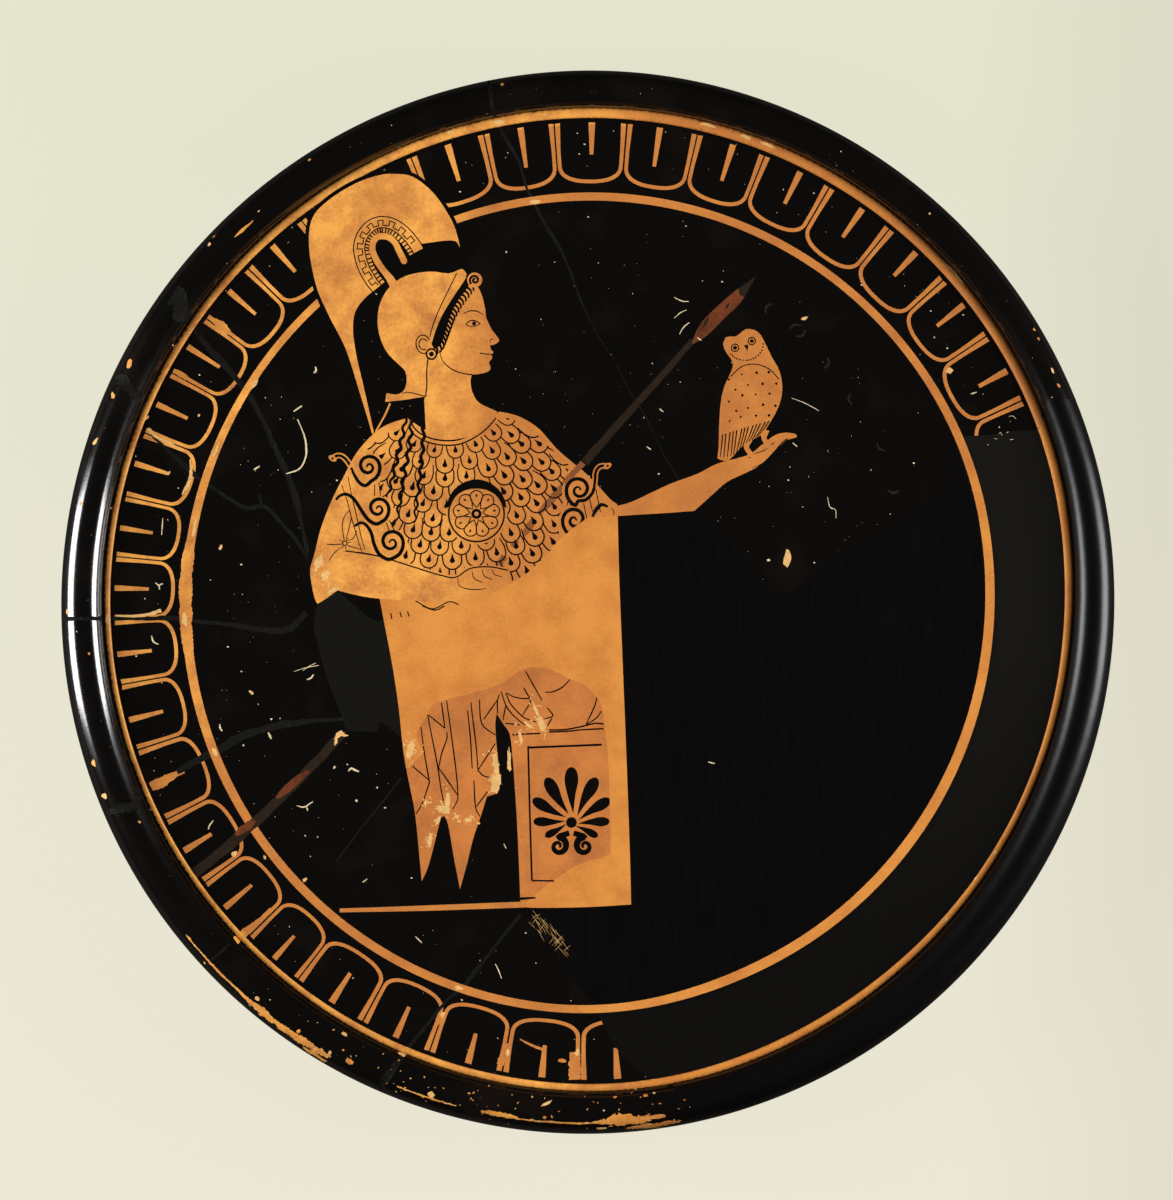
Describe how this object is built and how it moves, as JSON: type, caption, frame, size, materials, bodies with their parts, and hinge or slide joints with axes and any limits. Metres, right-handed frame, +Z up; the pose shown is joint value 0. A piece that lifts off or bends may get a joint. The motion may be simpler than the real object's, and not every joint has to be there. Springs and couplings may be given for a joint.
{
  "type": "pottery plate",
  "caption": "Shallow round pottery plate with a half-round lip, a sloping painted band, a flat picture floor and a low ring foot.",
  "frame": {"origin": "on the surface it stands on, below the middle of the plate", "axes": "+Z up out of the dish, +Y to the top of the picture, +X to the picture's right"},
  "size_m": [0.2502, 0.2526, 0.0209],
  "materials": {
    "gloss_slip": "black gloss slip on fired clay, with the picture and rings left in the clay's orange, worn and mended with matte dark fill"
  },
  "bodies": {
    "root": {"plate": "gloss_slip"}
  },
  "joints": []
}
